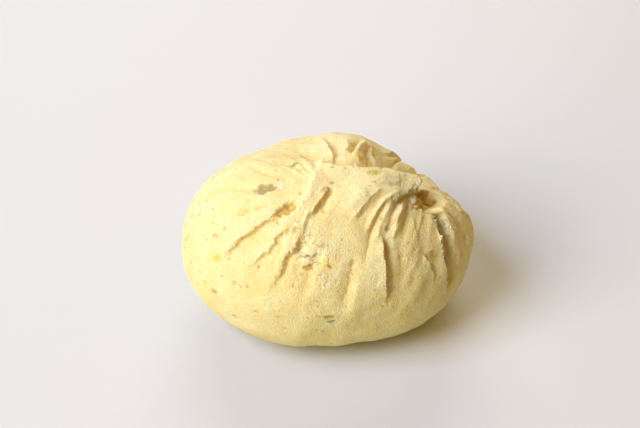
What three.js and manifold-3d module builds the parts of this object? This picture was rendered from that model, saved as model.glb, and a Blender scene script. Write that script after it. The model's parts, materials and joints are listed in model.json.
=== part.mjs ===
// Kuri kinton: a chestnut-paste sweet squeezed to shape in a cloth.
// One solid piece, about 47 mm wide. Millimetres, +Z up, resting on its flat foot at z = 0.
// The front is -Y. The origin is under the middle of the sweet.

import * as THREE from 'three';
import { mergeVertices } from 'three/addons/utils/BufferGeometryUtils.js';
import Module from 'manifold-3d';

// Driving sizes of the plain lump, measured from its heart
const HEART_HEIGHT = 11.5;
const REACH_LEFT = 23.7;
const REACH_RIGHT = 23.2;
const REACH_FRONT = 18.6;
const REACH_BACK = 19.5;
const REACH_UP = 17.7;
const REACH_DOWN = 12.5;
const DOME_ROUNDNESS = 2.0;
const SAG_ROUNDNESS = 2.6;

// How fine the faceted skin is, and how strongly it is drawn to the pleated side
const SKIN_DETAIL = 23;
const SKIN_PULL = 0.5;
const PLEATED_SIDE = { bearing: -65, height: 66 };

// Pleats are laid out on a ball of this radius round the heart
const BALL = 18;

// Soft swellings (+) and dents (-) of the lump: direction, spread in degrees, rise in mm
const SWELLINGS = [
  { name: 'back shoulder dent', bearing: 25.5, height: 37, spread: 22, rise: -5.6 },
  { name: 'right cheek', bearing: -5, height: 22, spread: 16, rise: 1.6 },
  { name: 'left back flat', bearing: 140, height: 40, spread: 26, rise: -1.2 },
  { name: 'front belly', bearing: -75, height: -10, spread: 24, rise: -1.0 },
  { name: 'back top flat', bearing: 112, height: 60, spread: 22, rise: -2.7 },
  { name: 'sheet between the gathers', bearing: -36, height: 60, spread: 12, rise: 1.4 },
];

// The two places where the cloth gathered the paste
const GATHERS = {
  crown: { bearing: -103, height: 71 },
  knot: { bearing: -8, height: 43 },
};

// A fold runs through three points, each a [bearing in degrees, reach in mm] round its gather.
// Bearing 0 faces the front and 90 the right. The skin sinks by depth across width; a negative
// depth makes a ridge. A fold with a high side steps up to a lip there within its drop: 1 is the
// side of larger bearings, -1 the other. Start and fade are the shares of its length over which
// it rises and dies away.
const PLAIN_FOLD = { lip: 0, high: 0, drop: 0.8, start: 0.2, fade: 0.4 };

function fold(name, gather, path, sizes) {
  return { ...PLAIN_FOLD, name, gather, path, ...sizes };
}

const LEFT_FAN = [
  fold('upper left line', 'crown', [[-168, 4.3], [-139, 8], [-138, 15]], { depth: 0.35, width: 0.5 }),
  fold('second upper line', 'crown', [[-115, 4], [-118, 10.5], [-126, 17.5]], { depth: 0.35, width: 0.5 }),
  fold('left line', 'crown', [[-96, 10], [-100, 13.5], [-105, 19]], { depth: 0.3, width: 0.5 }),
  fold('stepped line', 'crown', [[-76, 7.6], [-76, 11], [-81, 15.5]],
    { depth: 0.35, width: 0.4, lip: 0.25, high: 1, drop: 0.3 }),
  fold('big left fold', 'crown', [[-60, 6.2], [-63, 11.8], [-64, 19.5]],
    { depth: 0.45, width: 1.8, lip: 0.3, high: -1, drop: 0.5 }),
  fold('upper soft band', 'crown', [[-45.6, 10], [-53, 13.7], [-57, 18]], { depth: 0.2, width: 0.6 }),
  fold('shallow left fold', 'crown', [[-38, 6.8], [-44.5, 11.9], [-50, 17]],
    { depth: 0.3, width: 1.3, lip: 0.2, high: -1, drop: 0.45 }),
  fold('soft split side', 'crown', [[-37, 9.5], [-35, 13], [-35.5, 17]], { depth: 0.25, width: 0.5 }),
  fold('split fold', 'crown', [[-24, 7.8], [-29.1, 12.6], [-34.9, 20.4]],
    { depth: 0.5, width: 1.8, lip: 0.3, high: -1, drop: 0.65, fade: 0.7 }),
  fold('middle hollow', 'crown', [[-3, 9.5], [-9.9, 13.8], [-13, 19]], { depth: 0.5, width: 0.7 }),
  fold('middle ridge', 'crown', [[-1, 10.5], [-6.5, 15], [-10.5, 20]], { depth: -0.15, width: 1.5 }),
  fold('crown cleft', 'crown', [[102, 1.8], [1, 2.1], [-21.5, 6.5]],
    { depth: 0.7, width: 0.7, lip: 0.3, high: -1, drop: 0.5 }),
  fold('crown ridge', 'crown', [[-170, 5], [-60, 1.7], [-38, 10]], { depth: -0.6, width: 1.2 }),
  fold('ledge ridge', 'crown', [[-69, 7.6], [-71.7, 11.2], [-77, 15]], { depth: -0.15, width: 0.5 }),
];

const KNOT_FAN = [
  fold('side of the sheet', 'knot', [[-62, 6.8], [-48.9, 10.6], [-39, 14.2]],
    { depth: 0.35, width: 0.5, lip: 0.15, high: -1, drop: 0.8 }),
  fold('crest of the sheet', 'knot', [[-59, 9.2], [-53, 12], [-46.5, 14.2]],
    { depth: -0.6, width: 1.5 }),
  fold('first knot fold', 'knot', [[-53, 5.6], [-43.1, 9.4], [-29, 13.5]], { depth: 0.35, width: 0.35 }),
  fold('first knot ridge', 'knot', [[-52, 3.6], [-42, 8.7], [-24, 13.4]], { depth: -0.4, width: 0.35 }),
  fold('second knot fold', 'knot', [[-45, 5.0], [-33.3, 9.8], [-7, 17.8]], { depth: 0.5, width: 0.4 }),
  fold('second knot ridge', 'knot', [[-41, 6.3], [-28.9, 9.6], [-16, 12.6]], { depth: -0.3, width: 0.4 }),
  fold('third knot fold', 'knot', [[-37, 3.2], [-30.5, 6.9], [-15, 10.5]], { depth: 0.5, width: 0.4 }),
  fold('third knot ridge', 'knot', [[-30, 3.0], [-20.4, 7.5], [5, 14]],
    { depth: -0.45, width: 0.4, fade: 0.6 }),
  fold('fourth knot fold', 'knot', [[-26, 2.6], [-13.3, 5.7], [1, 10.5]], { depth: 0.5, width: 0.6 }),
  fold('thin knot ridge', 'knot', [[-19, 3.4], [3.3, 6.5], [22, 10]], { depth: -0.25, width: 0.3 }),
  fold('thin knot line', 'knot', [[-8, 4.2], [8, 6.8], [26, 10.4]], { depth: 0.2, width: 0.5 }),
  fold('thin right fold', 'knot', [[21, 9.6], [34, 11.5], [41, 14.2]],
    { depth: 0.3, width: 0.7, lip: 0.2, high: -1, drop: 0.3 }),
  fold('deep front fold', 'knot', [[-20.5, 10.6], [-0.7, 14.3], [17.5, 19]],
    { depth: 0.8, width: 1.2, lip: 0.6, high: -1, drop: 0.5 }),
  fold('faint long fold', 'knot', [[-4, 8.5], [10.7, 13.1], [25, 19.5]], { depth: 0.2, width: 0.8 }),
  fold('soft middle band', 'knot', [[-20, 15.5], [-11.8, 19], [3, 24]], { depth: 0.35, width: 0.9 }),
  fold('soft middle ridge', 'knot', [[-8, 17], [0.7, 21.1], [10, 25]], { depth: -0.12, width: 1.4 }),
  fold('great right fold', 'knot', [[33, 2.6], [40.3, 8.4], [55.3, 16.5]],
    { depth: 2.2, width: 1.1, lip: 0.4, high: -1, drop: 0.35, fade: 0.3 }),
  fold('right edge ridge', 'knot', [[63, 2.8], [52.9, 6.3], [55.3, 12]], { depth: -0.7, width: 0.6 }),
  fold('outer right fold', 'knot', [[92, 3.6], [73, 5.9], [72, 9]], { depth: 0.6, width: 0.5 }),
  fold('skirt line', 'knot', [[57.5, 15.8], [54, 18.1], [49, 21]], { depth: 0.2, width: 0.3 }),
  fold('end of the sheet', 'crown', [[114, 9], [104.5, 13], [101, 15.7]],
    { depth: -2.5, width: 1.1, start: 0.9, fade: 0.06 }),
  fold('pit septum', 'knot', [[120, 3.2], [57, 1.6], [20, 3.6]], { depth: -1.0, width: 0.3 }),
  fold('torn edge', 'knot', [[150, 5.6], [-48, 2.2], [-43, 8]],
    { depth: 0.6, width: 1.0, lip: 0.4, high: -1, drop: 0.3 }),
];

const BACK_FAN = [
  fold('crest', 'crown', [[179, 5.8], [117, 7.6], [112, 17.5]],
    { depth: 1.4, width: 1.8, lip: 0.9, high: -1, drop: 0.7, fade: 0.25 }),
  fold('crown hollow', 'crown', [[-163, 13], [-173, 10], [172, 6.5]], { depth: 0.8, width: 1.4 }),
  fold('first back fold', 'crown', [[179, 20], [170, 11.5], [152, 5.5]],
    { depth: 0.7, width: 1.2, lip: 0.45, high: -1, drop: 0.4 }),
  fold('bright back panel', 'crown', [[164, 19], [157, 12.5], [149, 8]], { depth: -0.4, width: 0.9 }),
  fold('second back fold', 'crown', [[158, 21], [152.5, 13.8], [145, 9]], { depth: 0.8, width: 0.55 }),
  fold('second back ridge', 'crown', [[154, 21], [148.5, 13.6], [139, 8.2]], { depth: -0.6, width: 0.5 }),
  fold('third back fold', 'crown', [[150, 21], [137.5, 13], [118, 10]], { depth: 0.9, width: 0.55 }),
  fold('third back ridge', 'crown', [[151, 22], [141, 16], [121, 12]], { depth: -0.5, width: 0.5 }),
  fold('fourth back fold', 'crown', [[149, 22], [137, 17], [118, 14.5]], { depth: 0.5, width: 0.6 }),
  fold('fifth back fold', 'knot', [[-108, 6], [-128, 9], [-152, 12.5]], { depth: 0.5, width: 0.6 }),
];

// Folds that fan out down the back and the right end, each a little off an even spacing. Near,
// middle and far are reaches in mm; sway and drift turn a fold's path by degrees on its way down.
const FAR_BACK = {
  count: 10, from: 122, step: 12.5, uneven: 3, sway: 5, near: 22, middle: 29, far: 37,
  nearSteps: 2, farSteps: 3, depth: 0.5, depthChange: 0.2,
};
const FAR_BACK_SIZES = { width: 0.9, lip: 0.35, drop: 0.5 };
const FAR_RIGHT = {
  count: 5, from: 98, step: 17, sway: 4, drift: -5, near: 7, middle: 12, far: 19, farSteps: 2,
};
const FAR_RIGHT_SIZES = { depth: 0.45, width: 0.8, lip: 0.25, high: -1, drop: 0.5 };

// Turns, in radians from one fold to the next, that keep their unevenness from repeating
const SPACING_TURN = 2.4;
const SWAY_TURN = 1.3;
const DEPTH_TURN = 1.7;

// The torn hole where the knot was pinched off
const PIT = { gather: 'knot', bearing: 66, reach: 2.1, turn: 152, length: 3.6, width: 1.8, depth: 2.9 };
const PIT_RAGGEDNESS = 0.2;
const PIT_LOBES = 3;
const PIT_WALL = 0.65;

// Bits of chestnut that show in the skin
const CHESTNUT_BITS = [
  bit('yellow bit', 'crown', [-57, 5.4], { half: [1.5, 0.9, 0.6], turn: -40, sunk: 0.3 }),
  bit('grey bit', 'crown', [-95.5, 8.6], { half: [2.0, 0.8, 0.5], turn: -97, sunk: 0.3 }),
  bit('candied bit', 'knot', [51, 2.5], { half: [0.8, 0.6, 0.6], turn: 70, sunk: 0.1 }),
  bit('cream bit', 'knot', [74, 9.3], { half: [1.1, 0.6, 0.6], turn: 40, sunk: 0.1 }),
  bit('ridge bit', 'knot', [-94, 6.9], { half: [1.0, 0.5, 0.4], turn: 80, sunk: 0.2 }),
  bit('flap bit', 'knot', [33, 9.7], { half: [1.4, 0.7, 0.5], turn: 20, sunk: 0.2 }),
  bit('low right bit', 'knot', [54.5, 14.3], { half: [0.8, 0.6, 0.5], turn: 10, sunk: 0.2 }),
  bit('pale bit', 'crown', [1.3, 11.2], { half: [1.1, 0.7, 0.4], turn: 0, sunk: 0.1 }),
];

// A bit: its place, its half sizes along, across and out, the turn of its long side from the
// front, and how far its middle is sunk below the skin
function bit(name, gather, [bearing, reach], sizes) {
  return { name, gather, bearing, reach, ...sizes };
}

// A bit's share of unevenness and how fast that changes along and across it
const BIT_ROUGHNESS = 0.12;
const BIT_WAVES = { along: 5, across: 3 };

// How a fold's cross-section is shaped: its line's pieces, its width at the start and how much
// wider it ends, the finest sizes that the facets can show, its crest and how far its lip reaches
const SEGMENTS = 14;
const START_WIDTH = 0.7;
const WIDENING = 0.6;
const FINEST_WIDTH = 0.6;
const FINEST_DROP = 0.5;
const CREST = 0.35;
const CREST_STEEPNESS = 1.3;
const LIP_LENGTH = 1.2;

// The block that cuts the foot flat, and the gap at which two points count as one
const FOOT_BLOCK = 80;
const SAME_POINT = 1e-5;

const rad = THREE.MathUtils.degToRad;
const { smoothstep } = THREE.MathUtils;

// A unit vector from the heart: bearing round +Z from +X, height above the level
function direction(bearing, height) {
  const level = Math.cos(rad(height));
  const x = level * Math.cos(rad(bearing));
  const y = level * Math.sin(rad(bearing));
  return new THREE.Vector3(x, y, Math.sin(rad(height)));
}

// A gather's middle, the way from it to a bearing and the way left of that
function gatherFrame(gather, bearing) {
  const centre = direction(GATHERS[gather].bearing, GATHERS[gather].height);
  const front = new THREE.Vector3(0, -1, 0).projectOnPlane(centre).normalize();
  const right = new THREE.Vector3().crossVectors(centre, front);
  const along = front.multiplyScalar(Math.cos(rad(bearing))).addScaledVector(right, Math.sin(rad(bearing)));
  return { centre, along, across: new THREE.Vector3().crossVectors(centre, along) };
}

// The direction of a point given by bearing and reach round a gather
function roundGather(gather, bearing, reach) {
  const { centre, along } = gatherFrame(gather, bearing);
  const turn = reach / BALL;
  return centre.multiplyScalar(Math.cos(turn)).addScaledVector(along, Math.sin(turn)).normalize();
}

// The plain lump's distance from the heart in a direction
function lumpReach(d) {
  const x = d.x / (d.x < 0 ? REACH_LEFT : REACH_RIGHT);
  const y = d.y / (d.y < 0 ? REACH_FRONT : REACH_BACK);
  const z = Math.abs(d.z) / (d.z < 0 ? REACH_DOWN : REACH_UP);
  const roundness = d.z < 0 ? SAG_ROUNDNESS : DOME_ROUNDNESS;
  const level = Math.hypot(x, y);
  let reach = (level ** roundness + z ** roundness) ** (-1 / roundness);
  for (const { bearing, height, spread, rise } of SWELLINGS) {
    const away = THREE.MathUtils.radToDeg(d.angleTo(direction(bearing, height)));
    reach += rise * Math.exp(-((away / spread) ** 2));
  }
  return reach;
}

// A smooth line through the three points of a path, as directions
function creaseLine({ gather, path }) {
  const [a, b, c] = path.map(([bearing, reach]) => roundGather(gather, bearing, reach));
  return Array.from({ length: SEGMENTS + 1 }, (_, i) => {
    const u = i / SEGMENTS;
    return new THREE.Vector3()
      .addScaledVector(a, (1 - u) * (1 - 2 * u))
      .addScaledVector(b, 4 * u * (1 - u))
      .addScaledVector(c, u * (2 * u - 1))
      .normalize();
  });
}

// Where a direction lies beside a line: how far along (0 to 1) and its signed distance in mm
function besideLine(d, line) {
  let best = { along: 0, side: Infinity };
  for (let i = 0; i < SEGMENTS; i++) {
    const span = new THREE.Vector3().subVectors(line[i + 1], line[i]);
    const toPoint = new THREE.Vector3().subVectors(d, line[i]);
    const t = THREE.MathUtils.clamp(toPoint.dot(span) / span.lengthSq(), 0, 1);
    const gap = toPoint.clone().addScaledVector(span, -t).length() * BALL;
    if (gap < Math.abs(best.side)) {
      const leftward = span.cross(toPoint).dot(d) > 0 ? 1 : -1;
      best = { along: (i + t) / SEGMENTS, side: leftward * gap };
    }
  }
  return best;
}

// A fold rises from nothing at the start of its line and dies away towards the end
function strengthAlong(along, { start, fade }) {
  return smoothstep(along, 0, start) * smoothstep(1 - along, 0, fade);
}

// How far one fold or ridge lifts the skin in a direction
function foldLift(d, crease) {
  const { along, side } = besideLine(d, crease.line);
  const width = Math.max(crease.width * (START_WIDTH + WIDENING * along), FINEST_WIDTH);
  const strength = strengthAlong(along, crease);
  if (!crease.high) {
    const crest = CREST * width;
    const off = Math.hypot(side, crest) - crest;
    return -crease.depth * strength * Math.exp(-CREST_STEEPNESS * off / width);
  }
  const drop = Math.max(crease.drop, FINEST_DROP);
  const height = side * crease.high;
  const bank = THREE.MathUtils.clamp(1 + height / drop, 0, 1) ** 2;
  const below = Math.min(height + drop, 0);
  const hollow = -crease.depth * Math.exp(-((below / width) ** 2));
  const lip = crease.lip * Math.exp(-Math.max(height, 0) / (LIP_LENGTH * width));
  return strength * (hollow * (1 - bank) + lip * bank);
}

function farBackFold(_, i) {
  const { from, step, uneven, near, middle, far, nearSteps, farSteps } = FAR_BACK;
  const turn = from + step * i + uneven * Math.sin(SPACING_TURN * i);
  const sway = FAR_BACK.sway * Math.sin(SWAY_TURN * i + 1);
  const path = [
    [turn, near + nearSteps * (i % 2)],
    [turn + sway, middle],
    [turn + 1.5 * sway, far - farSteps * (i % 3)],
  ];
  const depth = FAR_BACK.depth + FAR_BACK.depthChange * Math.cos(DEPTH_TURN * i);
  const high = i % 3 ? 1 : -1;
  return fold(`far back fold ${i + 1}`, 'crown', path, { ...FAR_BACK_SIZES, depth, high });
}

function farRightFold(_, i) {
  const { from, step, sway, drift, near, middle, far, farSteps } = FAR_RIGHT;
  const turn = from + step * i;
  const path = [
    [turn, near],
    [turn + sway * Math.sin(2 * i), middle],
    [turn + drift, far - farSteps * (i % 2)],
  ];
  return fold(`far right fold ${i + 1}`, 'knot', path, FAR_RIGHT_SIZES);
}

// How far the torn hole sinks the skin in a direction
function pitDrop(d) {
  const { along, across } = gatherFrame(PIT.gather, PIT.turn);
  const middle = roundGather(PIT.gather, PIT.bearing, PIT.reach);
  const away = d.clone().sub(middle).multiplyScalar(BALL);
  if (d.dot(middle) < 0) {
    return 0;
  }
  const u = away.dot(along) / PIT.length;
  const v = away.dot(across) / PIT.width;
  const clock = Math.atan2(v, u);
  const ragged = 1 + PIT_RAGGEDNESS * Math.sin(PIT_LOBES * clock);
  return PIT.depth * (1 - smoothstep(Math.hypot(u, v), PIT_WALL * ragged, ragged));
}

const farFolds = [
  ...Array.from({ length: FAR_BACK.count }, farBackFold),
  ...Array.from({ length: FAR_RIGHT.count }, farRightFold),
];
const creases = [...LEFT_FAN, ...KNOT_FAN, ...BACK_FAN, ...farFolds]
  .map((crease) => ({ ...crease, line: creaseLine(crease) }));

function skinPoint(d) {
  let reach = lumpReach(d) - pitDrop(d);
  for (const crease of creases) {
    reach += foldLift(d, crease);
  }
  return d.clone().multiplyScalar(reach).add(new THREE.Vector3(0, 0, HEART_HEIGHT));
}

// The pleated lump, as a ball of directions pushed out to the skin
function lumpGeometry() {
  const ball = onlyPositions(new THREE.IcosahedronGeometry(1, SKIN_DETAIL));
  const pull = direction(PLEATED_SIDE.bearing, PLEATED_SIDE.height).multiplyScalar(SKIN_PULL);
  return movePoints(ball, (d) => skinPoint(d.add(pull).normalize()));
}

// A rough bit of chestnut lying in the skin, long side along its turn
function bitGeometry({ gather, bearing, reach, half, turn, sunk }) {
  const d = roundGather(gather, bearing, reach);
  const front = new THREE.Vector3(0, -1, 0).projectOnPlane(d).normalize();
  const long = front.applyAxisAngle(d, rad(turn));
  const wide = new THREE.Vector3().crossVectors(d, long);
  const place = new THREE.Matrix4().makeBasis(long, wide, d);
  place.setPosition(skinPoint(d).addScaledVector(d, -sunk));
  const lump = onlyPositions(new THREE.IcosahedronGeometry(1, 1));
  movePoints(lump, (p) => {
    const wave = BIT_WAVES.along * p.x + BIT_WAVES.across * p.y + bearing;
    const rough = 1 + BIT_ROUGHNESS * Math.sin(wave);
    return p.multiplyScalar(rough).multiply(new THREE.Vector3(...half));
  });
  return lump.applyMatrix4(place);
}

// Geometry helpers
function onlyPositions(geometry) {
  geometry.deleteAttribute('normal');
  geometry.deleteAttribute('uv');
  return mergeVertices(geometry, SAME_POINT);
}

function movePoints(geometry, move) {
  const points = geometry.getAttribute('position');
  const point = new THREE.Vector3();
  for (let i = 0; i < points.count; i++) {
    const moved = move(point.fromBufferAttribute(points, i));
    points.setXYZ(i, moved.x, moved.y, moved.z);
  }
  return geometry;
}

const wasm = await Module();
wasm.setup();

function toSolid(geometry) {
  const vertProperties = geometry.getAttribute('position').array;
  const triVerts = new Uint32Array(geometry.index.array);
  return new wasm.Manifold(new wasm.Mesh({ numProp: 3, vertProperties, triVerts }));
}

function toGeometry(solid) {
  const { vertProperties, triVerts } = solid.getMesh();
  const geometry = new THREE.BufferGeometry();
  geometry.setAttribute('position', new THREE.BufferAttribute(vertProperties, 3));
  geometry.setIndex(new THREE.BufferAttribute(triVerts, 1));
  return geometry;
}

// Join the bits to the lump and cut the whole flat where it rests
function sweetGeometry() {
  let solid = toSolid(lumpGeometry());
  for (const chestnut of CHESTNUT_BITS) {
    solid = solid.add(toSolid(bitGeometry(chestnut)));
  }
  const block = onlyPositions(new THREE.BoxGeometry(FOOT_BLOCK, FOOT_BLOCK, FOOT_BLOCK));
  block.translate(0, 0, -FOOT_BLOCK / 2);
  const geometry = toGeometry(solid.subtract(toSolid(block)));
  geometry.computeBoundingBox();
  const middle = geometry.boundingBox.getCenter(new THREE.Vector3());
  geometry.translate(-middle.x, -middle.y, 0);
  geometry.computeVertexNormals();
  return geometry;
}

const paste = new THREE.MeshStandardMaterial({ color: 0xf0dea0, roughness: 0.75, metalness: 0 });

const sweet = new THREE.Mesh(sweetGeometry(), paste);
sweet.name = 'kuri_kinton';

const kuriKinton = new THREE.Group();
kuriKinton.add(sweet);

export default kuriKinton;
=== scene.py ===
# %% [markdown]
# # A kuri kinton
# A kuri kinton is sweet chestnut paste, gathered in a damp cloth and squeezed to a lump. The
# cloth leaves pleats that run out from where it was twisted. This lesson starts from the packed
# solid, which gives the size and the place, and makes the paste's skin over it.

# %% Load the frame
import json
import math

import bmesh
import bpy
import numpy as np
from mathutils import Matrix, Vector, noise

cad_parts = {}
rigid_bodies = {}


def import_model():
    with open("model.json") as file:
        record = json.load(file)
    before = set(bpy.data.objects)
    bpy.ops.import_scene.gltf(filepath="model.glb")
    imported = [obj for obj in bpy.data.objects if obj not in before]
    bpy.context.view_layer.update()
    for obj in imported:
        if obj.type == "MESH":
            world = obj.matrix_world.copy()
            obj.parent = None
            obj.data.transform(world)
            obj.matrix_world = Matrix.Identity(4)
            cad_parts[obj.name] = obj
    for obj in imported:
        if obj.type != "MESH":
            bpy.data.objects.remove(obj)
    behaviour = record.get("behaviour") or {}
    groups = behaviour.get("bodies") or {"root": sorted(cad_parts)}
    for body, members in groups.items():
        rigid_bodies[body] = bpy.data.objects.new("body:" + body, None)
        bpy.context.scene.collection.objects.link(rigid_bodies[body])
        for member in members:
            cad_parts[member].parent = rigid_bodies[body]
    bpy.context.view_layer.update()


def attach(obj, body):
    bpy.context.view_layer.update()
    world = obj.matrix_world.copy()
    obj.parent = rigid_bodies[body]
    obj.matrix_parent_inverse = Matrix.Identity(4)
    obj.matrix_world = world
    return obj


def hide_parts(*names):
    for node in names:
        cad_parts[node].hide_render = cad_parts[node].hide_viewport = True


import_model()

NODE = "kuri_kinton"
MM = 0.001

# %% [markdown]
# ## The plain lump
# Without its pleats the sweet is a low dome on a sagging belly. A point of its skin is found by
# walking out from the heart in some direction until the lump ends, so one formula for that
# distance gives the whole form. A few soft swellings and dents then make it uneven, as a hand
# would.

# %% The lump's sizes
HEART_HEIGHT = 11.5
REACH = {"left": 23.7, "right": 23.2, "front": 18.6, "back": 19.5, "up": 17.7, "down": 12.5}
DOME_ROUNDNESS = 2.0
SAG_ROUNDNESS = 2.6

# Each swelling: bearing and height of its middle, spread in degrees, rise in millimetres
SWELLINGS = {
    "back shoulder dent": (25.5, 37, 22, -5.6),
    "right cheek": (-5, 22, 16, 1.6),
    "left back flat": (140, 40, 26, -1.2),
    "front belly": (-75, -10, 24, -1.0),
    "back top flat": (112, 60, 22, -2.7),
    "sheet between the gathers": (-36, 60, 12, 1.4),
}


def direction(bearing, height):
    """A unit vector from the heart: bearing round +Z from +X, height above the level."""
    b, h = math.radians(bearing), math.radians(height)
    return np.array([math.cos(h) * math.cos(b), math.cos(h) * math.sin(b), math.sin(h)])


def lump_reach(d):
    """How far the plain lump reaches from its heart in each direction of d."""
    x = d[:, 0] / np.where(d[:, 0] < 0, REACH["left"], REACH["right"])
    y = d[:, 1] / np.where(d[:, 1] < 0, REACH["front"], REACH["back"])
    z = np.abs(d[:, 2]) / np.where(d[:, 2] < 0, REACH["down"], REACH["up"])
    roundness = np.where(d[:, 2] < 0, SAG_ROUNDNESS, DOME_ROUNDNESS)
    reach = (np.hypot(x, y) ** roundness + z ** roundness) ** (-1 / roundness)
    for bearing, height, spread, rise in SWELLINGS.values():
        away = np.degrees(np.arccos(np.clip(d @ direction(bearing, height), -1, 1)))
        reach += rise * np.exp(-(away / spread) ** 2)
    return reach


# %% [markdown]
# ## Where the folds run
# The cloth was gathered at two places, the crown on top and the knot at the upper right. Folds
# fan out from them, so each is easiest to place by a bearing and a reach round its gather, as on
# a clock face. Three such points are enough for one fold's gentle bend.

# %% Places round a gather
BALL = 18
GATHERS = {"crown": (-103, 71), "knot": (-8, 43)}


def unit(v):
    return v / np.linalg.norm(v, axis=-1, keepdims=True)


def gather_frame(gather, bearing=0):
    """A gather's middle, the way to a bearing (0 front, 90 right) and the way left of that."""
    centre = direction(*GATHERS[gather])
    front = np.array([0.0, -1.0, 0.0])
    front = unit(front - centre * (centre @ front))
    right = np.cross(centre, front)
    along = front * math.cos(math.radians(bearing)) + right * math.sin(math.radians(bearing))
    return centre, along, np.cross(centre, along)


def around(gather, bearing, reach):
    """The direction at a bearing and a reach in mm round a gather."""
    centre, along, _ = gather_frame(gather, bearing)
    turn = reach / BALL
    return unit(centre * math.cos(turn) + along * math.sin(turn))


SEGMENTS = 14


def crease_line(gather, path):
    """A smooth line of directions through the three points of a path."""
    a, b, c = (around(gather, bearing, reach) for bearing, reach in path)
    u = np.linspace(0, 1, SEGMENTS + 1)[:, None]
    return unit(a * (1 - u) * (1 - 2 * u) + b * 4 * u * (1 - u) + c * u * (2 * u - 1))


def beside(d, line):
    """For each direction: share of the line passed, signed distance in mm and the way to it."""
    along = np.zeros(len(d))
    gap = np.full(len(d), np.inf)
    away = np.zeros_like(d)
    for i in range(SEGMENTS):
        span = line[i + 1] - line[i]
        to_point = d - line[i]
        t = np.clip(to_point @ span / (span @ span), 0, 1)
        off = to_point - t[:, None] * span
        size = np.linalg.norm(off, axis=1) * BALL
        closer = size < np.abs(gap)
        left = np.where((np.cross(span, to_point) * d).sum(1) > 0, 1.0, -1.0)
        along = np.where(closer, (i + t) / SEGMENTS, along)
        gap = np.where(closer, left * size, gap)
        away = np.where(closer[:, None], off, away)
    return along, gap, away


# %% [markdown]
# ## The list of folds
# Each line below is one fold or ridge of the real sweet: the gather it runs from, three points of
# its line, how deep and how wide it is. A negative depth is a ridge. Where one side of a fold
# stands over the other, as where the cloth let go, a lip and its side are given too. The back,
# which the camera never sees, has the same kinds of folds, placed by a loop.

# %% The folds
FOLDS = []


def fold(name, gather, *path, depth, width, lip=0.0, high=0, drop=0.8, over=0.0, start=0.2,
         fade=0.4, ragged=1.0):
    """Note a fold: it sinks by depth across width, and a lip stands over it on its high side."""
    FOLDS.append(dict(name=name, line=crease_line(gather, path), depth=depth, width=width, lip=lip,
                      high=high, drop=drop, over=over, start=start, fade=fade, ragged=ragged))


fold("upper left line", "crown", (-168, 4.3), (-139, 8), (-138, 15), depth=0.5, width=0.5)
fold("second upper line", "crown", (-115, 4), (-118, 10.5), (-126, 17.5), depth=0.5, width=0.5)
fold("left line", "crown", (-96, 10), (-100, 13.5), (-105, 19), depth=0.45, width=0.5)
fold("stepped line", "crown", (-76, 7.6), (-76, 11), (-81, 15.5), depth=0.35, width=0.4,
     lip=0.25, high=1, drop=0.3, ragged=1.5)
fold("big left fold", "crown", (-60, 6.2), (-63, 11.8), (-64, 19.5), depth=0.45, width=1.8,
     lip=0.3, high=-1, drop=0.5, ragged=1.5)
fold("upper soft band", "crown", (-45.6, 10), (-53, 13.7), (-57, 18), depth=0.2, width=0.6)
fold("shallow left fold", "crown", (-38, 6.8), (-44.5, 11.9), (-50, 17), depth=0.3, width=1.3,
     lip=0.2, high=-1, drop=0.45, ragged=1.5)
fold("soft split side", "crown", (-37, 9.5), (-35, 13), (-35.5, 17), depth=0.35, width=0.6)
fold("split fold", "crown", (-24, 7.8), (-29.1, 12.6), (-34.9, 20.4), depth=0.5, width=1.8,
     lip=0.3, high=-1, drop=0.65, fade=0.7, ragged=1.5)
fold("middle hollow", "crown", (-3, 9.5), (-9.9, 13.8), (-13, 19), depth=0.55, width=1.2)
fold("middle ridge", "crown", (-1, 10.5), (-6.5, 15), (-10.5, 20), depth=-0.12, width=1.5)
fold("crown cleft", "crown", (102, 1.8), (1, 2.1), (-21.5, 6.5), depth=0.7, width=0.7,
     lip=0.3, high=-1, drop=0.5)

fold("sheet's side", "knot", (-62, 6.8), (-48.9, 10.6), (-39, 14.2), depth=0.35, width=0.5,
     lip=0.15, high=-1, drop=0.8, ragged=0.5)
fold("sheet's crest", "knot", (-59, 9.2), (-53, 12), (-46.5, 14.2), depth=-0.6, width=1.5)
fold("first knot fold", "knot", (-53, 5.6), (-43.1, 9.4), (-29, 13.5), depth=0.35, width=0.35,
     ragged=0.4)
fold("first knot ridge", "knot", (-52, 3.6), (-42, 8.7), (-24, 13.4), depth=-0.4, width=0.35,
     ragged=0.4)
fold("second knot fold", "knot", (-45, 5.0), (-33.3, 9.8), (-7, 17.8), depth=0.5, width=0.4,
     ragged=0.4)
fold("second knot ridge", "knot", (-41, 6.3), (-28.9, 9.6), (-16, 12.6), depth=-0.3, width=0.4,
     ragged=0.4)
fold("third knot fold", "knot", (-37, 3.2), (-30.5, 6.9), (-15, 10.5), depth=0.5, width=0.4,
     ragged=0.4)
fold("third knot ridge", "knot", (-30, 3.0), (-20.4, 7.5), (5, 14), depth=-0.45, width=0.4,
     fade=0.6, ragged=0.4)
fold("fourth knot fold", "knot", (-26, 2.6), (-13.3, 5.7), (1, 10.5), depth=0.5, width=0.6,
     ragged=0.4)
fold("thin knot ridge", "knot", (-19, 3.4), (3.3, 6.5), (22, 10), depth=-0.25, width=0.3,
     ragged=0.4)
fold("thin knot line", "knot", (-8, 4.2), (8, 6.8), (26, 10.4), depth=0.2, width=0.5)
fold("thin right fold", "knot", (21, 9.6), (34, 11.5), (41, 14.2), depth=0.3, width=0.7,
     lip=0.2, high=-1, drop=0.3, ragged=0.5)
fold("deep front fold", "knot", (-20.5, 10.6), (-0.7, 14.3), (17.5, 19), depth=0.8, width=1.2,
     lip=0.6, high=-1, drop=0.5, over=0.1, ragged=0.5)
fold("faint long fold", "knot", (-4, 8.5), (10.7, 13.1), (25, 19.5), depth=0.35, width=0.8)
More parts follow.
